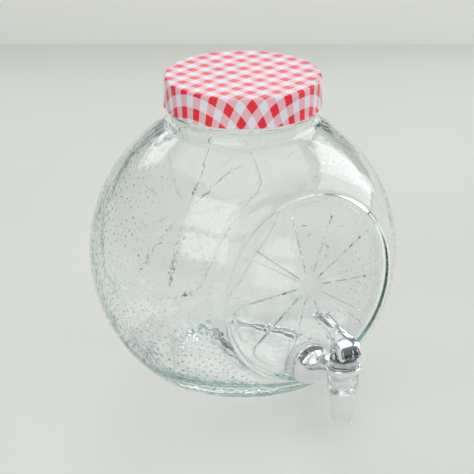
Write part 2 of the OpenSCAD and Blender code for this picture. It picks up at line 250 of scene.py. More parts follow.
def smooth_step(x):
    """Runs from 0 to 1 while x does, with level ends."""
    x = np.clip(x, 0, 1)
    return x * x * (3 - 2 * x)


def smooth_min(a, b, k):
    """The smaller of two lengths, with the corner between them rounded over k."""
    h = np.clip(0.5 + 0.5 * (b - a) / k, 0, 1)
    return b * (1 - h) + a * h - k * h * (1 - h)


def smooth_max(a, b, k):
    """The larger of two lengths, with the corner between them rounded over k."""
    return -smooth_min(-a, -b, k)


def combine(target, steps):
    """Joins or cuts a solid with others: steps are (operation, object) pairs."""
    for operation, other in steps:
        cut = target.modifiers.new("cut", "BOOLEAN")
        cut.solver = "MANIFOLD"
        cut.operation = operation
        cut.object = other
    bpy.context.view_layer.update()
    evaluated = target.evaluated_get(bpy.context.evaluated_depsgraph_get())
    mesh = bpy.data.meshes.new_from_object(evaluated)
    target.modifiers.clear()
    target.data = mesh
    for _, other in steps:
        bpy.data.objects.remove(other, do_unlink=True)


def outward_cylinder(name, radius, y_near, y_far, z, cols=64):
    """A closed cylinder along Y, in front of the jar."""
    turn = np.linspace(0, 2 * math.pi, cols, endpoint=False)
    loops = [np.stack([radius * np.cos(turn), np.full(cols, y), z + radius * np.sin(turn)], -1)
             for y in (y_near, y_far)]
    return closed_surface(name, loops)


# ------------------------------------------------------------------ materials

def new_material(name):
    """A node material with its nodes, its links and its shader."""
    mat = bpy.data.materials.new(name)
    mat.use_nodes = True
    nodes = mat.node_tree.nodes
    shader = nodes["Principled BSDF"]
    return mat, nodes, mat.node_tree.links, shader


def noise(nodes, links, scale, detail=3.0):
    """Fractal noise over the object's own coordinates."""
    tex = nodes.new("ShaderNodeTexNoise")
    tex.inputs["Scale"].default_value = scale
    tex.inputs["Detail"].default_value = detail
    links.new(coordinates(nodes), tex.inputs["Vector"])
    return tex.outputs["Fac"]


def coordinates(nodes):
    """The object's own coordinates, from one node that the material shares."""
    found = [n for n in nodes if n.bl_idname == "ShaderNodeTexCoord"]
    coord = found[0] if found else nodes.new("ShaderNodeTexCoord")
    return coord.outputs["Object"]


def spread(nodes, links, value, low, high):
    """Maps a noise, which mostly keeps between 0.3 and 0.7, onto a range."""
    ramp = nodes.new("ShaderNodeMapRange")
    ramp.inputs["From Min"].default_value = 0.3
    ramp.inputs["From Max"].default_value = 0.7
    ramp.inputs["To Min"].default_value = low
    ramp.inputs["To Max"].default_value = high
    links.new(value, ramp.inputs["Value"])
    return ramp.outputs["Result"]


def bump(nodes, links, shader, height, strength, distance):
    """Raises the surface by a height value."""
    node = nodes.new("ShaderNodeBump")
    node.inputs["Strength"].default_value = strength
    node.inputs["Distance"].default_value = distance
    links.new(height, node.inputs["Height"])
    links.new(node.outputs["Normal"], shader.inputs["Normal"])


def glass_material(name, roughness, ior, tint, density, wave):
    """Clear glass or plastic: a faint tint by thickness, ripples and light handling marks.

    The roughness is a range, and the wave is the ripples' scale, strength and depth in metres.
    """
    mat, nodes, links, shader = new_material(name)
    shader.inputs["Base Color"].default_value = (1, 1, 1, 1)
    shader.inputs["Transmission Weight"].default_value = 1.0
    shader.inputs["IOR"].default_value = ior
    smudge = noise(nodes, links, 60, 4)
    links.new(spread(nodes, links, smudge, *roughness), shader.inputs["Roughness"])
    bump(nodes, links, shader, noise(nodes, links, wave[0], 2), wave[1], wave[2])
    volume = nodes.new("ShaderNodeVolumeAbsorption")
    volume.inputs["Color"].default_value = (*tint, 1)
    volume.inputs["Density"].default_value = density
    links.new(volume.outputs["Volume"], nodes["Material Output"].inputs["Volume"])
    return mat


def metal_material(name, colour, roughness, grain):
    """Plated or drawn metal with fine marks."""
    mat, nodes, links, shader = new_material(name)
    shader.inputs["Base Color"].default_value = (*colour, 1)
    shader.inputs["Metallic"].default_value = 1.0
    links.new(spread(nodes, links, noise(nodes, links, 220, 5), *roughness),
              shader.inputs["Roughness"])
    bump(nodes, links, shader, noise(nodes, links, 90, 2), grain, 0.0004)
    return mat


def soft_material(name, colour, roughness, clear=0.0):
    """Rubber, silicone or plastic with a fine moulded grain and slight mottling."""
    mat, nodes, links, shader = new_material(name)
    mix = nodes.new("ShaderNodeMix")
    mix.data_type = "RGBA"
    mix.inputs["A"].default_value = (*[c * 0.9 for c in colour], 1)
    mix.inputs["B"].default_value = (*colour, 1)
    links.new(noise(nodes, links, 140, 4), mix.inputs["Factor"])
    links.new(mix.outputs["Result"], shader.inputs["Base Color"])
    links.new(spread(nodes, links, noise(nodes, links, 300, 3), *roughness),
              shader.inputs["Roughness"])
    shader.inputs["Transmission Weight"].default_value = clear
    shader.inputs["Subsurface Weight"].default_value = 0.1
    shader.inputs["Subsurface Scale"].default_value = 0.002
    bump(nodes, links, shader, noise(nodes, links, 900, 2), 0.15, 0.0001)
    return mat


def math_node(nodes, links, operation, a, b=None):
    """The result of one operation on numbers or sockets."""
    node = nodes.new("ShaderNodeMath")
    node.operation = operation
    for socket, value in zip(node.inputs, (a, b)):
        if value is None:
            continue
        if isinstance(value, (int, float)):
            socket.default_value = value
        else:
            links.new(value, socket)
    return node.outputs[0]


def gingham_material(name):
    """A gingham print that was flat before the lid was drawn, so its checks bend down the skirt."""
    check = 12.6 * MM               # one red stripe and one white stripe
    stretch = 0.75                  # how much of the skirt's depth the flat print took
    turn = math.radians(17.5)       # direction of the stripes
    phase = (9.75 * MM, 7.6 * MM)   # where the stripes fall, one value for each direction
    blur = 0.08 * MM                # half the softness of a stripe's edge
    hatch_pitch = 0.45 * MM         # half the distance from one line of the hatch to the next
    hatch_edge = (0.1 * MM, 0.25 * MM)
    diagonal = math.sqrt(0.5)
    mat, nodes, links, shader = new_material(name)

    def calc(operation, a, b=None):
        """One operation in this material."""
        return math_node(nodes, links, operation, a, b)

    split = nodes.new("ShaderNodeSeparateXYZ")
    links.new(coordinates(nodes), split.inputs["Vector"])
    x, y, z = (split.outputs[axis] for axis in "XYZ")
    radius = calc("SQRT", calc("ADD", calc("MULTIPLY", x, x), calc("MULTIPLY", y, y)))
    depth = calc("SUBTRACT", lid_high[2] * MM, z)
    scale = calc("ADD", 1.0, calc("DIVIDE", calc("MULTIPLY", depth, stretch),
                                  calc("MAXIMUM", radius, 0.001)))

    def along(a, b):
        """Distance in a direction on the flat print."""
        return calc("MULTIPLY", scale, calc("ADD", calc("MULTIPLY", x, a), calc("MULTIPLY", y, b)))

    def stripe(a, b, start):
        """1 in a red stripe and 0 in a white one; whole checks keep the distance above zero."""
        wave = calc("PINGPONG", calc("ADD", along(a, b), check * 40 - start), check / 2)
        edge = calc("SUBTRACT", check / 4, wave)
        return calc("MULTIPLY", calc("ADD", edge, blur), 1 / (2 * blur))

    def clamp(value):
        """A value held between 0 and 1."""
        return calc("MINIMUM", calc("MAXIMUM", value, 0.0), 1.0)

    first = clamp(stripe(math.cos(turn), math.sin(turn), phase[0]))
    second = clamp(stripe(-math.sin(turn), math.cos(turn), phase[1]))
    both = calc("MULTIPLY", first, second)
    either = calc("SUBTRACT", calc("ADD", first, second), calc("MULTIPLY", both, 2.0))

    def twill(a, b):
        """The fine diagonal hatch that prints a half tone."""
        wave = calc("PINGPONG", calc("ADD", along(a, b), 0.5), hatch_pitch)
        return clamp(calc("MULTIPLY", calc("SUBTRACT", wave, hatch_edge[0]), 1 / hatch_edge[1]))

    tone = calc("ADD", 0.28, calc("MULTIPLY", twill(diagonal, diagonal), 0.24))
    hatch = calc("MULTIPLY", either, tone)
    ink = calc("ADD", both, hatch)
    speck = spread(nodes, links, noise(nodes, links, 1400, 4), 0.94, 1.0)
    ink = calc("MULTIPLY", ink, speck)

    mix = nodes.new("ShaderNodeMix")
    mix.data_type = "RGBA"
    mix.inputs["A"].default_value = (0.80, 0.81, 0.86, 1)
    mix.inputs["B"].default_value = (0.90, 0.002, 0.02, 1)
    links.new(ink, mix.inputs["Factor"])
    links.new(mix.outputs["Result"], shader.inputs["Base Color"])
    shader.inputs["Specular IOR Level"].default_value = 0.2
    shader.inputs["Coat Weight"].default_value = 0.12
    shader.inputs["Coat Roughness"].default_value = 0.1
    links.new(spread(nodes, links, noise(nodes, links, 120, 4), 0.22, 0.34),
              shader.inputs["Roughness"])
    bump(nodes, links, shader, noise(nodes, links, 700, 3), 0.05, 0.0001)
    return mat


def enamel_material(name):
    """White baked enamel on sheet metal."""
    mat, nodes, links, shader = new_material(name)
    mix = nodes.new("ShaderNodeMix")
    mix.data_type = "RGBA"
    mix.inputs["A"].default_value = (0.80, 0.80, 0.78, 1)
    mix.inputs["B"].default_value = (0.90, 0.90, 0.89, 1)
    links.new(noise(nodes, links, 160, 4), mix.inputs["Factor"])
    links.new(mix.outputs["Result"], shader.inputs["Base Color"])
    links.new(spread(nodes, links, noise(nodes, links, 200, 4), 0.2, 0.32),
              shader.inputs["Roughness"])
    bump(nodes, links, shader, noise(nodes, links, 600, 3), 0.05, 0.0001)
    return mat


GLASS = glass_material("pressed_glass", roughness=(0.0, 0.02), ior=1.5,
                       tint=(0.05, 0.50, 0.42), density=5.5, wave=(55, 0.25, 0.0010))
CLEAR_PLASTIC = glass_material("clear_plastic", roughness=(0.10, 0.20), ior=1.49,
                               tint=(0.2, 0.6, 0.55), density=6.0, wave=(120, 0.1, 0.0004))
CHROME = metal_material("chrome_plating", (0.92, 0.93, 0.94), (0.07, 0.13), grain=0.01)
# Painted shade: the valve stem's steel is given a dark slate colour that stands in for the shadow and
# dark reflection between the lever's legs. It is not the steel's own colour.
STEM_STEEL_PAINTED_SHADE = metal_material("dark_steel", (0.20, 0.23, 0.27), (0.18, 0.30), grain=0.12)
WIRE_STEEL = metal_material("drawn_wire", (0.62, 0.63, 0.65), (0.15, 0.28), grain=0.15)
GINGHAM = gingham_material("gingham_print")
ENAMEL = enamel_material("white_enamel")
SILICONE = soft_material("silicone", (0.90, 0.93, 0.91), (0.35, 0.5), clear=0.15)
LINER = soft_material("sealing_compound", (0.86, 0.86, 0.82), (0.4, 0.55))
WHITE_PLASTIC = soft_material("white_plastic", (0.92, 0.93, 0.92), (0.3, 0.42))
GREY_PLASTIC = soft_material("grey_plastic", (0.90, 0.92, 0.92), (0.3, 0.45))
BLACK_RUBBER = soft_material("black_rubber", (0.03, 0.03, 0.032), (0.45, 0.6))

NODE_MATERIALS = {
    "lid_liner": LINER, "outer_gasket": SILICONE, "inner_gasket": SILICONE,
    "inner_washer": WHITE_PLASTIC, "retaining_nut": GREY_PLASTIC, "collar_seal": SILICONE,
    "barrel_clip": WIRE_STEEL, "barrel_cap": CLEAR_PLASTIC, "stem_o_ring": BLACK_RUBBER,
    # The valve stem takes the dark steel, a painted shade between the lever's legs.
    "valve_stem": STEM_STEEL_PAINTED_SHADE, "seat_cup": SILICONE, "spring_washer": WIRE_STEEL,
    "return_spring": WIRE_STEEL, "lever_pin": WIRE_STEEL,
}


def place(obj, material, body, node):
    """Gives a piece its material and its body, and hides the CAD node that it stands for."""
    obj.data.materials.clear()
    obj.data.materials.append(material)
    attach(obj, body)
    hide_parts(node)


def let_light_through(obj):
    """Light that reaches the things round a clear piece passes straight through it."""
    obj.visible_diffuse = False
    obj.visible_shadow = False


def paint_plain_nodes():
    """Gives the CAD meshes that are shown as they are their materials."""
    for node, material in NODE_MATERIALS.items():
        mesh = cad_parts[node].data
        mesh.materials.clear()
        mesh.materials.append(material)


# ------------------------------------------------------------------ jar

def slice_height(rho, psi, front):
    """Height of the raised slice over a flat face, at a radius and an angle from straight up."""
    step = 2 * math.pi / SEGMENTS
    off = np.abs((psi + step / 2) % step - step / 2)
    side = rho * np.sin(SEGMENT_HALF - off)
    end = SEGMENT_R - rho
    r = SEGMENT_CORNER
    corner = r - np.hypot(np.maximum(r - side, 0), np.maximum(r - end, 0))
    inside = np.where((side < r) & (end < r), corner, np.minimum(side, end))
    inside = np.minimum(inside, rho - SEGMENT_TIP)
    soft = 1.0 if front else BACK_SOFT
    relief = RELIEF if front else BACK_RELIEF
    segment = relief * smooth_step((inside + 0.2) / (1.2 * soft))
    pith = relief * smooth_step((rho - PITH_IN + 1.3 * soft) / (2.6 * soft))
    height = np.maximum(segment, pith)
    if front:
        away = np.hypot(rho * np.sin(psi), rho * np.cos(psi) - (TAP_Z - JAR_Z))
        boss = RELIEF * smooth_step((BOSS_R - away) / 2.0)
        height = np.maximum(height * smooth_step((away - BOSS_R + 1) / 3.0), boss)
    return height


def neck_reach(alpha):
    """Distance from the sphere's centre to the shoulder and the neck's stub, by angle from +Z."""
    stub_r = NECK_R - 0.05
    stub_top = NECK_TOP - JAR_Z
    centre_r = stub_r + NECK_FILLET
    centre_z = math.sqrt((JAR_R + NECK_FILLET) ** 2 - centre_r ** 2)
    start = math.degrees(math.atan2(-centre_z, -centre_r))
    bend = np.array(arc((centre_r, centre_z), NECK_FILLET, start, -180, 12))
    profile = np.concatenate([bend, [[stub_r, stub_top], [0, stub_top]]])
    fine = np.concatenate([np.linspace(a, b, 40) for a, b in zip(profile[:-1], profile[1:])])
    angles = np.arctan2(fine[:, 0], fine[:, 1])
    order = np.argsort(angles)
    reach = np.hypot(fine[:, 0], fine[:, 1])
    return np.where(alpha < angles.max(),
                    np.interp(alpha, angles[order], reach[order]), JAR_R)


def face_columns(rho):
    """Angles of the columns over a flat face: they crowd along the straight edges of the segments."""
    half = math.pi / SEGMENTS
    edge = rho * SEGMENT_HALF
    from_edge = np.array([2.4, 1.9, 1.5, 1.2, 0.9, 0.6, 0.3, 0.0, -0.3])
    near = min(1.0, rho / 30) * from_edge    # mm from the edge, closer together near the middle
    plain = COLUMNS // (2 * SEGMENTS) - len(near) - 2
    inner = np.linspace(0, edge - near[0], plain, endpoint=False)
    outer = np.linspace(edge - near[-1], rho * half, 4)[1:]
    side = np.concatenate([inner, edge - near, outer]) / rho
    even = np.linspace(0, half, len(side))
    side += (even - side) * smooth_step((rho - SEGMENT_R - 2) / 6)
    one = np.concatenate([side, 2 * half - side[-2:0:-1]])
    return np.concatenate([one + 2 * half * k for k in range(SEGMENTS)])


def face_rows(front):
    """Rows of points over a flat face, from its middle to its rounded rim."""
    rings = np.concatenate([
        np.arange(2, 8, 1.5), np.arange(8, 50, 2.1), np.arange(50.5, 59.6, 0.9),
        np.arange(59.9, 62.1, 0.35), [63, 64.2], np.arange(64.9, 67.2, 0.35)])
    rows = []
    for rho in rings:
        psi = face_columns(rho)
        y = FACE_Y + slice_height(np.full(COLUMNS, rho), psi, front)
        rows.append(np.stack([rho * np.sin(psi), y, rho * np.cos(psi)], -1))
    centre, round_r = RIM_ROUND
    top = RELIEF if front else BACK_RELIEF
    psi = face_columns(PITH_IN + 4)
    for rho, y in arc((centre, FACE_Y + top - round_r), round_r, 90, 46, 5):
        rows.append(np.stack([rho * np.sin(psi), np.full(COLUMNS, y), rho * np.cos(psi)], -1))
    rows = np.array(rows)
    if front:
        rows[..., 1] *= -1
    return rows


def band_point(beta, psi, depth=0.0):
    """A point of the round band between the faces, sunk by a depth in millimetres."""
    unit = np.stack([np.cos(beta) * np.sin(psi), np.sin(beta) * np.ones_like(psi),
                     np.cos(beta) * np.cos(psi)], -1)
    alpha = np.arccos(np.clip(unit[..., 2], -1, 1))
    floor = JAR_Z / np.maximum(-unit[..., 2], 1e-6)
    reach = smooth_min(neck_reach(alpha), floor, HEEL_ROUND)
    return unit * (reach - depth)[..., None]


def bridge(outer, inner, outer_at, inner_at, centre):
    """Triangles between two loops of point numbers that both run round a centre in the plane."""
    whole = 2 * math.pi
    a, b = (np.unwrap(np.arctan2(at[:, 1] - centre[1], at[:, 0] - centre[0]))
            for at in (outer_at, inner_at))
    b = b - whole * round((b.mean() - a.mean()) / whole)
    shift = int(np.argmin(np.abs(b - a[0])))
    b = np.concatenate([b[shift:], b[:shift] + whole * (1 if b[-1] > b[0] else -1)])
    b = b + whole * round((a[0] - b[0]) / whole)
    inner = inner[shift:] + inner[:shift]
    a = np.append(a, a[0] + whole)
    b = np.append(b, b[0] + whole)
    # Each triangle steps along the loop whose next edge comes first by angle.
    faces = []
    i = j = 0
    while i < len(outer) or j < len(inner):
        take_outer = j == len(inner) or (i < len(outer) and a[i + 1] + a[i] < b[j + 1] + b[j])
        p, q = outer[i % len(outer)], inner[j % len(inner)]
        if take_outer:
            faces.append([p, outer[(i + 1) % len(outer)], q])
            i += 1
        else:
            faces.append([p, inner[(j + 1) % len(inner)], q])
            j += 1
    return faces


def pit_depth(rng, around):
    """Depth of a pit at an angle from straight up: shallow high up and on the +X side."""
    depth = rng.uniform(*PIT_DEPTH) * (1 - 0.85 * smooth_step((math.cos(around) - 0.4) / 0.35))
    depth += 0.4 * smooth_step(0.2 - 1.5 * math.cos(around))
    return depth * (1 - 0.6 * smooth_step((math.sin(around) - 0.1) / 0.6))


def pit_cell(rng, beta, psi, i, j, first, points, faces):
    """One cell of the band with a small pit somewhere in it, added to the points and faces."""
    rows, cols = CELL
    loop = [(i, j + k) for k in range(cols)]
    loop += [(i + k, j + cols) for k in range(rows)]
    loop += [(i + rows, j + cols - k) for k in range(cols)]
    loop += [(i + rows - k, j) for k in range(rows)]
    outer = [first + r * COLUMNS + c % COLUMNS for r, c in loop]
    middle = (beta[i] + beta[i + rows]) / 2
    around = psi[0] + (j + cols / 2) * 2 * math.pi / COLUMNS
    width = JAR_R * math.cos(middle) * 2 * math.pi / COLUMNS
    height = JAR_R * (beta[1] - beta[0])
    at = np.array([[(c - j - cols / 2) * width, (r - i - rows / 2) * height] for r, c in loop])
    free = np.array([cols * width, rows * height]) / 2 - PIT_R - PIT_SPARE
    centre = rng.uniform(-1, 1, 2) * np.maximum(free, 0)
    depth = pit_depth(rng, around)
    size = rng.uniform(*PIT_SIZE)
    turn = np.arange(PIT_SIDES) * 2 * math.pi / PIT_SIDES + rng.uniform(0, 1)
    circle = np.stack([np.cos(turn), np.sin(turn)], -1)
    rings = [centre + PIT_R * share * size * circle for share in PIT_RINGS]
    sunk = [np.full(PIT_SIDES, depth * (1 - smooth_step(share / PIT_EDGE))) for share in PIT_RINGS]
    flat = np.concatenate([centre[None]] + rings)
    up = middle + flat[:, 1] / JAR_R
    side = around + flat[:, 0] / (JAR_R * math.cos(middle))
    base = len(points)
    points.extend(band_point(up, side, np.concatenate([[depth]] + sunk)).tolist())
    inner = [[base + 1 + PIT_SIDES * k + n for n in range(PIT_SIDES)] for k in range(len(rings))]
    following = [(n, (n + 1) % PIT_SIDES) for n in range(PIT_SIDES)]
    faces.extend([base, inner[0][n], inner[0][m]] for n, m in following)
    for small, large in zip(inner[:-1], inner[1:]):
        faces.extend([small[n], large[n], large[m], small[m]] for n, m in following)
    faces.extend(bridge(outer, inner[-1], at, rings[-1], centre))


def jar_outside():
    """The jar's outer skin: rows run from the middle of the front face to that of the back face."""
    rng = np.random.default_rng(7)
    front = face_rows(True)
    back = face_rows(False)[::-1]
    rows = CELL_ROWS * CELL[0] + 1
    edge = math.asin((FACE_Y - BAND_DROP) / JAR_R)
    beta = np.linspace(-edge, edge, rows)
    psi = np.linspace(0, 2 * math.pi, COLUMNS, endpoint=False)
    band = band_point(beta[:, None] * np.ones(COLUMNS), np.ones((rows, 1)) * psi)
    loops = np.concatenate([front, band, back])
    points = loops.reshape(-1, 3).tolist()
    first = len(front) * COLUMNS
    total = len(loops)
    faces = grid_faces(len(front) + 1, COLUMNS)
    faces += grid_faces(len(back) + 1, COLUMNS, first + (rows - 1) * COLUMNS)

    alpha = np.arccos(np.clip(band[..., 2] / np.linalg.norm(band, axis=-1), -1, 1))
    plain = (alpha < PLAIN_TOP) | (band[..., 2] < PLAIN_LOW - JAR_Z)
    step_r, step_c = CELL
    quads = np.array(grid_faces(rows, COLUMNS, first)).reshape(rows - 1, COLUMNS, 4)
    for big in range(CELL_ROWS):
        i = big * step_r
        for small in range(COLUMNS // step_c):
            j = small * step_c + 2 * (big % 2)
            columns = np.arange(j, j + step_c + 1) % COLUMNS
            if big in (0, CELL_ROWS - 1) or plain[i:i + step_r + 1][:, columns].any():
                faces += quads[i:i + step_r][:, columns[:-1]].reshape(-1, 4).tolist()
            else:
                pit_cell(rng, beta, psi, i, j, first, points, faces)

    points = np.array(points + [[0, -FACE_Y, 0], [0, FACE_Y, 0]])
    faces += fan_faces(len(points) - 2, 0, COLUMNS, flip=True)
    faces += fan_faces(len(points) - 1, (total - 1) * COLUMNS, COLUMNS)
    points[:, 2] += JAR_Z
    punt_r, slope, rise = PUNT
    punt = rise * smooth_step((punt_r - np.hypot(points[:, 0], points[:, 1])) / slope)
    points[:, 2] = np.where(points[:, 2] < 0.6, np.maximum(points[:, 2], 0) + punt, points[:, 2])
    return make_mesh("jar_glass", points, faces)


def jar_inside():
    """The hollow of the jar with its mouth, as a solid to cut away."""
    cols = 192
    inner_r = JAR_R - WALL
    face_round, floor_round, mouth_round = INNER_ROUND
    top = RIM_Z + ABOVE_RIM - JAR_Z
    mouth_r = MOUTH_R - 0.1
    mouth_edge = math.atan2(mouth_r, top)
    shoulder = 0.52                          # angle from straight up where the neck has ended
    alpha = np.concatenate([
        np.linspace(0.03, mouth_edge, 6), np.linspace(mouth_edge, shoulder, 28)[1:],
        np.linspace(shoulder, math.pi - 0.02, 96)[1:]])
    psi = np.linspace(0, 2 * math.pi, cols, endpoint=False)
    a, p = np.meshgrid(alpha, psi, indexing="ij")
    unit = np.stack([np.sin(a) * np.cos(p), np.sin(a) * np.sin(p), np.cos(a)], -1)
    ripple = 0.22 * np.sin(5 * p + 3 * a) * np.sin(7 * a + 1) + 0.16 * np.sin(11 * p - 4 * a)
    face = (FACE_Y - WALL) / np.maximum(np.abs(unit[..., 1]), 1e-6)
    reach = smooth_min(inner_r + ripple, face + 0.5 * ripple, face_round)
    floor = (JAR_Z - BASE_T) / np.maximum(-unit[..., 2], 1e-6)
    reach = smooth_min(reach, floor, floor_round)
    mouth = np.minimum(mouth_r / np.maximum(np.sin(a), 1e-6),
                       top / np.maximum(np.cos(a), 1e-6))
    mouth = np.where(a < shoulder + 0.03, mouth, 0)
    reach = np.where(a < shoulder + 0.1, np.maximum(mouth, smooth_max(mouth, reach, mouth_round)),
                     reach)
    reach = np.where(mouth > reach - 0.01, mouth, reach)
    loops = unit * reach[..., None]
    loops[..., 2] += JAR_Z
    return closed_surface("jar_hollow", loops, (0, 0, RIM_Z + ABOVE_RIM), (0, 0, BASE_T))


def neck_tube():
    """The neck's wall: its lower edge stands proud of the shoulder, as where a mould parts."""
    low = NECK_LOW
    r = 1.8
    outer = [[NECK_R - 0.6, low], [NECK_R - 0.02, low + 2.4]]
    bead = [[NECK_R, BEAD_Z - 1.8]] + arc((NECK_R - 1.0, BEAD_Z), 1.6, -50, 50, 8)
    bead += [[NECK_R, BEAD_Z + 1.8]]
    rim = arc((NECK_R - r, RIM_Z - r), r, 0, 90, 6)
    rim += arc((MOUTH_R + r, RIM_Z - r), r, 90, 180, 6)
    return revolve("neck_tube", outer + bead + rim + [[MOUTH_R, low]], 192)


def helix_ridges():
    """Short ridges round the neck, each on its own helix and thinning out at its ends."""
    mid = lid_low[2] + RIDGE_RISE
    section = np.array([[NECK_R - 0.5, -1.0], [NECK_R + 0.9, -0.85], [RIDGE_R - 0.3, -0.6],
                        [RIDGE_R, -0.3], [RIDGE_R, 0.3], [RIDGE_R - 0.3, 0.6],
                        [NECK_R + 0.9, 0.85], [NECK_R - 0.5, 1.0]])
    points, faces = [], []
    steps = 26
    for start in range(RIDGES):
        base = len(points)
        for s in range(steps + 1):
            turn = math.radians(RIDGE_TURN[0] + RIDGE_TURN[1] * s / steps)
            end = min(s, steps - s) / 3
            size = smooth_step(np.array(min(end + 0.12, 1.0)))
            for radius, height in section:
                out = NECK_R - 0.5 + (radius - NECK_R + 0.5) * (0.25 + 0.75 * size)
                angle = turn + start * 2 * math.pi / RIDGES
                points.append([out * math.cos(angle), out * math.sin(angle),
                               mid + LEAD * turn / (2 * math.pi) + height * (0.5 + 0.5 * size)])
        n = len(section)
        faces += grid_faces(steps + 1, n, base)
        faces.append([base + k for k in range(n)])
        faces.append([base + steps * n + k for k in range(n - 1, -1, -1)])
    return make_mesh("neck_ridges", points, faces)


def build_jar():
    """The jar: skin, neck and ridges joined, then hollowed and bored for the tap."""
    jar = jar_outside()
    hole = outward_cylinder("tap_hole", HOLE_R, -FACE_Y - 6, -FACE_Y + WALL + 6, TAP_Z)
    combine(jar, [("UNION", neck_tube()), ("UNION", helix_ridges()),
                  ("DIFFERENCE", jar_inside()), ("DIFFERENCE", hole)])
    shade(jar.data, 60)
    let_light_through(jar)
    place(jar, GLASS, "jar", "glass_jar")


# ------------------------------------------------------------------ lid

def lug_reach(turn):
    """How far the curled edge bulges in at an angle: 1 at the middle of a lug, 0 between lugs."""
    step = 2 * math.pi / LUGS
    off = np.abs((turn + step / 2) % step - step / 2)
    return 1 - smooth_step((np.degrees(off) - LUG_HALF) / LUG_BLEND)


def build_lid():
    """The printed shell is one sheet: its outside is the print, its inside and curl are white."""
    cols = 360
    turn = np.linspace(0, 2 * math.pi, cols, endpoint=False)
    top = lid_high[2]
    low = lid_low[2]
    skirt_r = lid_high[0] - 0.45
    sheet = 0.6
    r = 2.0
    outer = [[2.0, top], [20, top], [40, top], [skirt_r - r - 2.5, top]]
    outer += arc((skirt_r - r, top - r), r, 90, 0, 8)
    outer += [[skirt_r, z] for z in np.linspace(top - r - 2, low + 3.4, 8)]
    outer += [[skirt_r, low + 2.2]]
    curl = arc((skirt_r - CURL_R / 2, low + CURL_R + 0.05), CURL_R, 50, -200, 14)
    inner = [[skirt_r - sheet, low + 2.4]]
    inner += [[skirt_r - sheet, z] for z in np.linspace(low + 4, top - r - 1, 5)]
    inner += arc((skirt_r - r, top - r), r - sheet, 0, 90, 5)
    inner += [[skirt_r - r - 3, top - sheet], [30, top - sheet], [2.0, top - sheet]]
    profile = np.array(outer + curl + inner)
    lug = lug_reach(turn)
    rows = []
    curl_first = len(outer) + 4
    curl_last = len(outer) + len(curl) - 1
    for k, (radius, z) in enumerate(profile):
        pull = np.zeros(cols)
        if curl_first <= k <= curl_last:
            pull = LUG_DEPTH * lug * min(1.0, (k - curl_first + 1) / 4, (curl_last - k + 1) / 3)
        rows.append(np.stack([(radius - pull) * np.cos(turn), (radius - pull) * np.sin(turn),
                              np.full(cols, z)], -1))
    shell = closed_surface("lid_tin", rows, (0, 0, top), (0, 0, top - sheet), 50)
    place(shell, GINGHAM, "lid", "lid_shell")
    shell.data.materials.append(ENAMEL)
    first_white = curl_first * cols
    last_row = (len(profile) - 1) * cols
    for face in shell.data.polygons:
        low_vertex = min(face.vertices)
        high_vertex = max(face.vertices)
        inside = low_vertex >= first_white and high_vertex < len(profile) * cols
        centre_fan = high_vertex == len(profile) * cols + 1
        if inside or centre_fan or low_vertex >= last_row:
            face.material_index = 1


# ------------------------------------------------------------------ tap

def build_tap_body():
    """Flange, swept neck and collar in one chrome moulding, bored for the barrel."""
    cols = 64
    turn = np.linspace(0, 2 * math.pi, cols, endpoint=False)
    flange_y = gasket_low[1]
    flange_r = 14.55
    neck_end = BARREL_Y + 2

    # y, z, half width, half height; the flange is the first few sections
    sections = [
        (flange_y, TAP_Z, flange_r - 0.4, flange_r - 0.4),
        (flange_y - 0.4, TAP_Z, flange_r, flange_r),
        (flange_y - 2.0, TAP_Z, flange_r, flange_r),
        (flange_y - 2.8, TAP_Z, flange_r - 0.4, flange_r - 0.4),
        (flange_y - 3.3, TAP_Z, flange_r - 1.6, flange_r - 1.5),
        (flange_y - 3.9, TAP_Z, flange_r - 3.2, flange_r - 3.0),
        (flange_y - 4.9, TAP_Z + 0.1, 9.9, 10.2),
        (flange_y - 6.5, TAP_Z + 0.3, 8.9, 9.2),
        (flange_y - 9.0, TAP_Z + 0.8, 8.2, 8.6),
        (flange_y - 12.0, TAP_Z + 1.8, 7.8, 8.8),
        (flange_y - 15.0, TAP_Z + 3.1, 7.7, 9.3),
        (flange_y - 18.0, TAP_Z + 4.6, 7.8, 9.8),
        (flange_y - 22.0, TAP_Z + 6.2, 8.0, 10.0),
        (flange_y - 27.0, TAP_Z + 7.2, 8.3, 9.8),
        (neck_end, TAP_Z + 7.6, 8.4, 9.6),
    ]
    loops = [np.stack([w * np.cos(turn), np.full(cols, y), z + h * np.sin(turn)], -1)
             for y, z, w, h in sections]
    tap = closed_surface("tap_chrome", loops)

    low = barrel_low[2] + COLLAR_RISE
    r = COLLAR_R
    lip = [[0, low], [r - 1.5, low], [r - 1.1, low + 0.3], [r - 0.9, low + 1.8], [r - 0.3, low + 2.8]]
    lip += arc((r - 0.7, low + 3.8), 0.7, -20, 120, 6)
    collar = upright("collar", lip + [[0.5, low + 4.5]])
    bore_up = upright("bore_up", [[BARREL_BORE, low - 0.01], [BARREL_BORE, 60]])
    bore_down = upright("bore_down", [[BAND_BORE, 5], [BAND_BORE, low]])
    shank = outward_cylinder("shank", SHANK_R, flange_y - 0.5, jar_low[1] + 18, TAP_Z)
    combine(tap, [("UNION", collar), ("DIFFERENCE", bore_up), ("DIFFERENCE", bore_down)])
    combine(tap, [("UNION", shank)])
    shade(tap.data, 35)
    place(tap, CHROME, "jar", "tap_body")


def upright(name, profile, cols=96):
    """A closed solid about the barrel's axis, from [radius, height] points."""
    turn = np.linspace(0, 2 * math.pi, cols, endpoint=False)
    loops = [np.stack([r * np.cos(turn), BARREL_Y + r * np.sin(turn), np.full(cols, z)], -1)
             for r, z in profile]
    return closed_surface(name, loops)


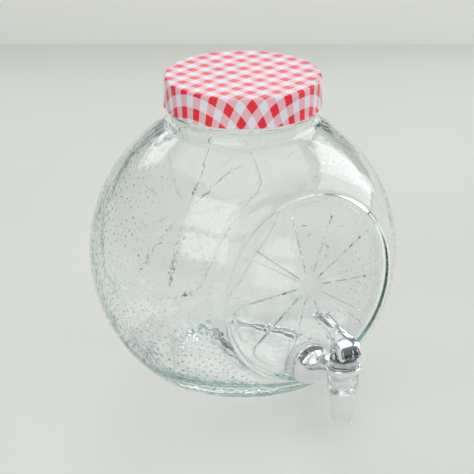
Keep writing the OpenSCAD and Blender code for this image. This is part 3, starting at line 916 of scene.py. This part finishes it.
def build_barrel():
    """The clear barrel: chamber, valve seat and tapering nozzle."""
    low = barrel_low[2]
    high = barrel_high[2]
    band_r = 10.6
    outer = [[5.95, low + 0.1], [6.3, low], [7.2, low], [7.45, low + 0.3], [7.5, low + 3]]
    outer += [[7.9, low + 8], [8.4, low + 14], [8.95, low + 20], [9.35, low + 24]]
    outer += [[9.55, low + 26.4], [9.65, low + 27.0], [band_r - 0.1, low + 27.4]]
    outer += [[band_r, low + 27.8], [band_r, low + 37.0], [band_r - 0.2, low + 37.2]]
    outer += [[9.48, low + 37.3]]
    outer += [[9.48, high - 0.3], [9.2, high]]
    inner = [[7.9, high], [7.7, high - 0.2], [7.7, low + 29.2], [7.5, low + 29], [5.1, low + 29],
             [4.8, low + 28.7], [4.8, low + 26.8], [5.2, low + 26], [7.6, low + 23.5],
             [7.5, low + 20], [6.8, low + 10], [6.1, low + 3], [5.95, low + 1]]
    barrel = revolve("barrel_clear", outer + inner, 96, (0, BARREL_Y), 45)
    let_light_through(barrel)
    place(barrel, CLEAR_PLASTIC, "jar", "clear_barrel")


def lever_line():
    """Middle of the lever's web from its front edge to its tip, as [y, z]."""
    crown = bezier([PIN_Y - 8.0, PIN_Z + 0.6], [PIN_Y - 6.4, PIN_Z + 4.2],
                   [PIN_Y, PIN_Z + 3.9], [PIN_Y + 8, PIN_Z + 6.4], 30)
    paddle = bezier([PIN_Y + 8, PIN_Z + 6.4], [PIN_Y + 18, PIN_Z + 9.5],
                    [PIN_Y + 26, PIN_Z + 12.3], [PIN_Y + 34.8, PIN_Z + 12.3], 48)
    return np.concatenate([crown, paddle[1:]])


def build_lever():
    """A chrome lever: two legs, a narrow waist and a spoon-shaped paddle."""
    line = lever_line()
    step = np.gradient(line, axis=0)
    step /= np.linalg.norm(step, axis=1)[:, None]
    normal = np.stack([-step[:, 1], step[:, 0]], -1)
    along = line[:, 0] - PIN_Y
    half = np.interp(along, [-8, -4, 0, 3, 6, 9, 12, 16, 20, 25, 29, 32, 33.6, 34.5, 34.8],
                     [7.95, 7.95, 7.9, 7.6, 7.0, 6.2, 5.6, 5.5, 5.8, 6.2, 6.1, 5.3, 4.2, 2.7, 1.0])
    half = np.convolve(np.pad(half, 3, mode="edge"), np.ones(7) / 7, "valid")
    half[-6:] = np.minimum(half[-6:], [4.4, 4.0, 3.5, 2.8, 2.0, 0.9])
    thick = np.interp(along, [-8, -2, 6, 14, 30, 34.8], [1.9, 2.1, 2.6, 2.6, 2.0, 1.2])
    spoon = smooth_step((along - 12) / 5) * smooth_step((34.2 - along) / 4)
    dome = 1 - smooth_step((along - 4) / 6)

    cols = 72
    turn = np.linspace(0, 2 * math.pi, cols, endpoint=False)
    loops = []
    for k in range(len(line)):
        c, s = np.cos(turn), np.sin(turn)
        across = half[k] * np.sign(c) * np.abs(c) ** 0.8
        lift = thick[k] / 2 * np.sign(s) * np.abs(s) ** 0.6
        share = np.abs(across) / half[k]
        hollow = 0.8 * spoon[k] * np.maximum(1 - (share / 0.85) ** 2, 0) ** 2
        round_top = 0.9 * dome[k] * (1 - share ** 2) - 0.5 * dome[k]
        lift = np.where(s > 0, lift - hollow + round_top, lift)
        y = line[k, 0] + normal[k, 0] * lift
        z = line[k, 1] + normal[k, 1] * lift
        loops.append(np.stack([across, y, z], -1))
    web = closed_surface("lever_chrome", loops)

    combine(web, [("UNION", leg_plate("leg", x, x + LEG_T)) for x in LEG_X])
    shade(web.data, 55)
    place(web, CHROME, "lever", "lever")


def leg_plate(name, x0, x1):
    """One leg of the lever: its cam foot, its front edge and its back edge."""
    low = PIN_Z - 7.9
    back = bezier([PIN_Y + 5.0, PIN_Z + 4.2], [PIN_Y + 2.4, PIN_Z + 1.6],
                  [PIN_Y - 0.5, PIN_Z - 3.4], [PIN_Y - 5.2, low + 0.5], 10)
    front = bezier([PIN_Y - 9.6, low + 1.6], [PIN_Y - 8.6, PIN_Z - 2.0],
                   [PIN_Y - 5.8, PIN_Z + 1.4], [PIN_Y - 1.5, PIN_Z + 2.8], 10)
    outline = back.tolist() + [[PIN_Y - 7.4, low], [PIN_Y - 8.9, low + 0.4]] + front.tolist()
    n = len(outline)
    points = [[x0, y, z] for y, z in outline] + [[x1, y, z] for y, z in outline]
    faces = [list(range(n)), list(range(2 * n - 1, n - 1, -1))]
    faces += [[k, (k + 1) % n, n + (k + 1) % n, n + k] for k in range(n)]
    leg = make_mesh(name, points, faces)
    bm = bmesh.new()
    bm.from_mesh(leg.data)
    rims = [e for e in bm.edges if abs(e.verts[0].co.x - e.verts[1].co.x) < 1e-6]
    bmesh.ops.bevel(bm, geom=rims, offset=0.5 * MM, segments=3, affect="EDGES", profile=0.5)
    bm.to_mesh(leg.data)
    bm.free()
    return leg


# ------------------------------------------------------------------ stage, light and camera

def stone_material(name, pale):
    """Pale polished stone with very faint veins."""
    mat, nodes, links, shader = new_material(name)
    vein = noise(nodes, links, 3.0, 8)
    mix = nodes.new("ShaderNodeMix")
    mix.data_type = "RGBA"
    mix.inputs["A"].default_value = (0.70 * pale, 0.71 * pale, 0.67 * pale, 1)
    mix.inputs["B"].default_value = (0.735 * pale, 0.745 * pale, 0.705 * pale, 1)
    links.new(vein, mix.inputs["Factor"])
    links.new(mix.outputs["Result"], shader.inputs["Base Color"])
    shader.inputs["Roughness"].default_value = 0.45
    return mat


def stage_quad(name, corners, material):
    """One flat sheet of the stage."""
    mesh = bpy.data.meshes.new(name)
    mesh.from_pydata(corners, [], [(0, 1, 2, 3)])
    mesh.materials.append(material)
    quad = bpy.data.objects.new(name, mesh)
    bpy.context.scene.collection.objects.link(quad)


def build_stage():
    """A pale floor that ends at a low pale wall, square to the camera's line of sight."""
    stone = stone_material("pale_stone", 1.0)
    half = FLOOR_HALF
    stage_quad("floor", [(-half, -half, 0), (half, -half, 0), (half, half, 0), (-half, half, 0)], stone)
    away = Vector((-math.sin(CAMERA_AZ), math.cos(CAMERA_AZ), 0))
    side = Vector((math.cos(CAMERA_AZ), math.sin(CAMERA_AZ), 0))
    foot = away * WALL_AWAY
    top = Vector((0, 0, WALL_TOP))
    ends = [foot - side * WALL_HALF, foot + side * WALL_HALF]
    wall = stone_material("pale_wall", 1.32)
    stage_quad("wall", [ends[0], ends[1], ends[1] + top, ends[0] + top], wall)


def panel(name, azimuth, elevation, size, radiance, distance):
    """A soft box aimed at the jar."""
    data = bpy.data.lights.new(name, "AREA")
    data.shape = "RECTANGLE"
    data.size, data.size_y = size
    data.energy = radiance * math.pi * size[0] * size[1]
    a, e = math.radians(azimuth), math.radians(elevation)
    way = Vector((math.sin(a) * math.cos(e), -math.cos(a) * math.cos(e), math.sin(e)))
    light = bpy.data.objects.new(name, data)
    light.location = Vector((0, 0, JAR_Z * MM)) + way * distance
    light.rotation_euler = way.to_track_quat("Z", "Y").to_euler()
    bpy.context.scene.collection.objects.link(light)
    return light


def build_light():
    """The lights and the even light of the room."""
    world = bpy.data.worlds.new("studio")
    bpy.context.scene.world = world
    world.use_nodes = True
    background = world.node_tree.nodes["Background"]
    background.inputs["Color"].default_value = WORLD_COLOUR
    background.inputs["Strength"].default_value = WORLD_STRENGTH
    lights = {values[0]: panel(*values) for values in PANELS}
    lights["front_fill"].visible_glossy = False


def build_camera():
    """A long lens from a little above the jar."""
    data = bpy.data.cameras.new("camera")
    data.lens = LENS
    data.sensor_width = 36.0
    camera = bpy.data.objects.new("camera", data)
    back = Vector((math.sin(CAMERA_AZ) * math.cos(CAMERA_EL),
                   -math.cos(CAMERA_AZ) * math.cos(CAMERA_EL), math.sin(CAMERA_EL)))
    right = Vector((math.cos(CAMERA_AZ), math.sin(CAMERA_AZ), 0))
    up = back.cross(right)
    camera.location = CAMERA_AIM + back * CAMERA_DISTANCE - right * CAMERA_LEFT - up * CAMERA_DOWN
    camera.rotation_euler = back.to_track_quat("Z", "Y").to_euler()
    bpy.context.scene.collection.objects.link(camera)
    bpy.context.scene.camera = camera


# ------------------------------------------------------------------ the whole

bpy.context.scene.view_settings.view_transform = "Standard"
bpy.context.scene.cycles.max_bounces = 40
bpy.context.scene.cycles.transmission_bounces = 40
bpy.context.scene.cycles.glossy_bounces = 24
build_jar()
build_lid()
build_tap_body()
build_barrel()
build_lever()
paint_plain_nodes()
build_stage()
build_light()
build_camera()
